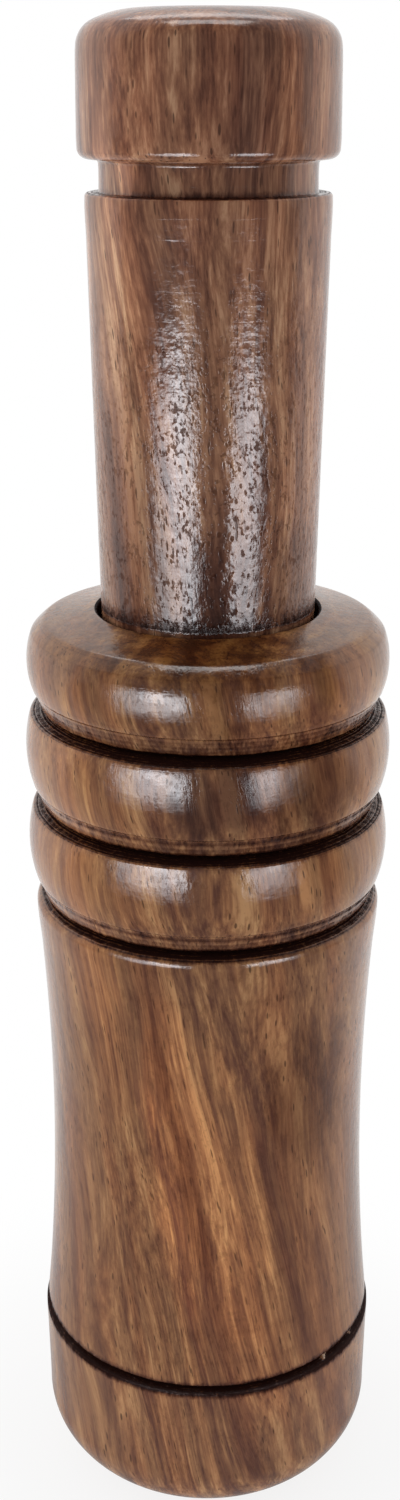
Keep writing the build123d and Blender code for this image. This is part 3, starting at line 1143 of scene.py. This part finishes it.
def lay_floor(settings):
    """Pale floor that keeps a soft shadow of the call, and mirrors as a dim one on the camera's side."""
    mesh = bpy.data.meshes.new("floor")
    reach = 4.0
    corners = [(-reach, -reach, 0.0), (reach, -reach, 0.0), (reach, reach, 0.0), (-reach, reach, 0.0)]
    mesh.from_pydata(corners, [], [(0, 1, 2, 3)])
    material, kit = new_material("Pale Floor")
    seen, camera = looking(kit)
    place = kit.add("NewGeometry").outputs["Position"]
    away = kit.length(place)
    glow = kit.most(kit.span(kit.axis(place, "Y"), -0.06, 0.08, FRONT_DIM, 1.0), camera)
    plain = kit.most(kit.span(away, 0.02, 0.05, 0.85, 1.0), kit.rest(camera))
    bounce = kit.times(kit.span(away, 0.03, 0.2, settings.floor_light, 0.0), kit.rest(seen))
    paper = kit.add("BsdfDiffuse", {"Color": shade(settings.floor_colour)})
    paper = kit.add("AddShader", {0: paper.outputs[0], 1: kit.light(bounce)})
    shares = {"Fac": kit.times(seen, plain), 1: paper.outputs[0], 2: kit.light(glow)}
    kit.add("OutputMaterial", {"Surface": kit.add("MixShader", shares).outputs[0]})
    new_piece("floor", mesh, material)


def light_world(scene, settings):
    """White studio behind the call, dimmer on the camera's side, white wherever the camera looks."""
    world = bpy.data.worlds.new("studio")
    world.use_nodes = True
    scene.world = world
    kit = NodeKit(world.node_tree)
    seen, camera = looking(kit)
    way = kit.add("TexCoord").outputs["Generated"]
    shown = kit.most(kit.span(kit.axis(way, "Y"), -0.35, 0.3, FRONT_DIM, 1.0), camera)
    lit = kit.times(settings.room_light, kit.rest(seen))
    for axis, low, high, at_low, at_high in ROOM_SHADES:
        lit = kit.times(lit, kit.span(kit.axis(way, axis), low, high, at_low, at_high))
    strength = kit.math("ADD", lit, kit.times(shown, seen))
    background = kit.add("Background", {"Color": shade((1.0, 1.0, 1.0)), "Strength": strength})
    kit.add("OutputWorld", {"Surface": background.outputs[0]})


def area_light(name, power, size, place, tilt=0):
    light = bpy.data.lights.new(name, "AREA")
    light.shape = "RECTANGLE"
    light.size, light.size_y = size
    light.energy = power
    lamp = bpy.data.objects.new(name, light)
    lamp.location = place
    lamp.rotation_euler.x = math.radians(tilt)
    lamp.visible_camera = False
    lamp.visible_diffuse = False
    bpy.context.scene.collection.objects.link(lamp)


def low_card(name, inner, outer, glow):
    """Bright card before the call, mirrored from a crisp inner bearing to a soft outer one."""
    distance = 0.12
    foot, full, fading, head = 0.015, 0.085, 0.092, 0.108
    inner, outer = math.radians(inner), math.radians(outer)
    soft_from = inner + (outer - inner) * 0.4
    steps = 16
    spots = []
    for height in (foot, head):
        for step in range(steps + 1):
            angle = inner + (outer - inner) * step / steps
            spots.append((distance * math.sin(angle), -distance * math.cos(angle), height))
    faces = [(step, step + 1, step + steps + 2, step + steps + 1) for step in range(steps)]
    mesh = bpy.data.meshes.new(name)
    mesh.from_pydata(spots, [], faces)

    material, kit = new_material(name)
    place = kit.add("NewGeometry").outputs["Position"]
    height = kit.axis(place, "Z")
    bearing = kit.math("ARCTAN2", kit.axis(place, "X"), kit.times(kit.axis(place, "Y"), -1.0))
    strength = kit.times(kit.span(bearing, soft_from, outer, glow, 0.0), kit.span(height, foot, full))
    strength = kit.times(strength, kit.span(height, fading, head, 1.0, 0.0))
    strength = kit.times(strength, kit.span(kit.noise(place, scale=45.0), 0.3, 0.7, 0.6, 1.25))
    kit.add("OutputMaterial", {"Surface": kit.light(strength, (0.92, 0.95, 1.0))})
    card = new_piece(name, mesh, material)
    card.visible_camera = False
    card.visible_diffuse = False
    card.visible_shadow = False


class BIRDCALL_PT_sidebar(bpy.types.Panel):
    """Bird call's pieces and their settings"""

    bl_idname = "BIRDCALL_PT_sidebar"
    bl_label = "Bird Call"
    bl_space_type = "VIEW_3D"
    bl_region_type = "UI"
    bl_category = "Bird Call"

    def draw(self, context):
        for operator in OPERATORS:
            self.layout.operator(operator.bl_idname)
        settings = context.scene.bird_call
        for group in (settings.barrel, settings.stopper, settings.insert, settings.stage):
            box = self.layout.box()
            for prop in group.bl_rna.properties:
                if prop.identifier not in {"rna_type", "name"}:
                    box.prop(group, prop.identifier)


OPERATORS = (
    BIRDCALL_OT_barrel,
    BIRDCALL_OT_stopper,
    BIRDCALL_OT_seals,
    BIRDCALL_OT_tone_board,
    BIRDCALL_OT_reeds,
    BIRDCALL_OT_cork_wedge,
    BIRDCALL_OT_stage,
)
CLASSES = (
    BarrelSettings,
    StopperSettings,
    InsertSettings,
    StageSettings,
    CallSettings,
    *OPERATORS,
    BIRDCALL_PT_sidebar,
)


def register():
    for item in CLASSES:
        bpy.utils.register_class(item)
    bpy.types.Scene.bird_call = PointerProperty(type=CallSettings)


def unregister():
    del bpy.types.Scene.bird_call
    for item in reversed(CLASSES):
        bpy.utils.unregister_class(item)


def main():
    register()
    for operator in OPERATORS:
        family, action = operator.bl_idname.split(".")
        getattr(getattr(bpy.ops, family), action)()


if __name__ == "__main__":
    main()
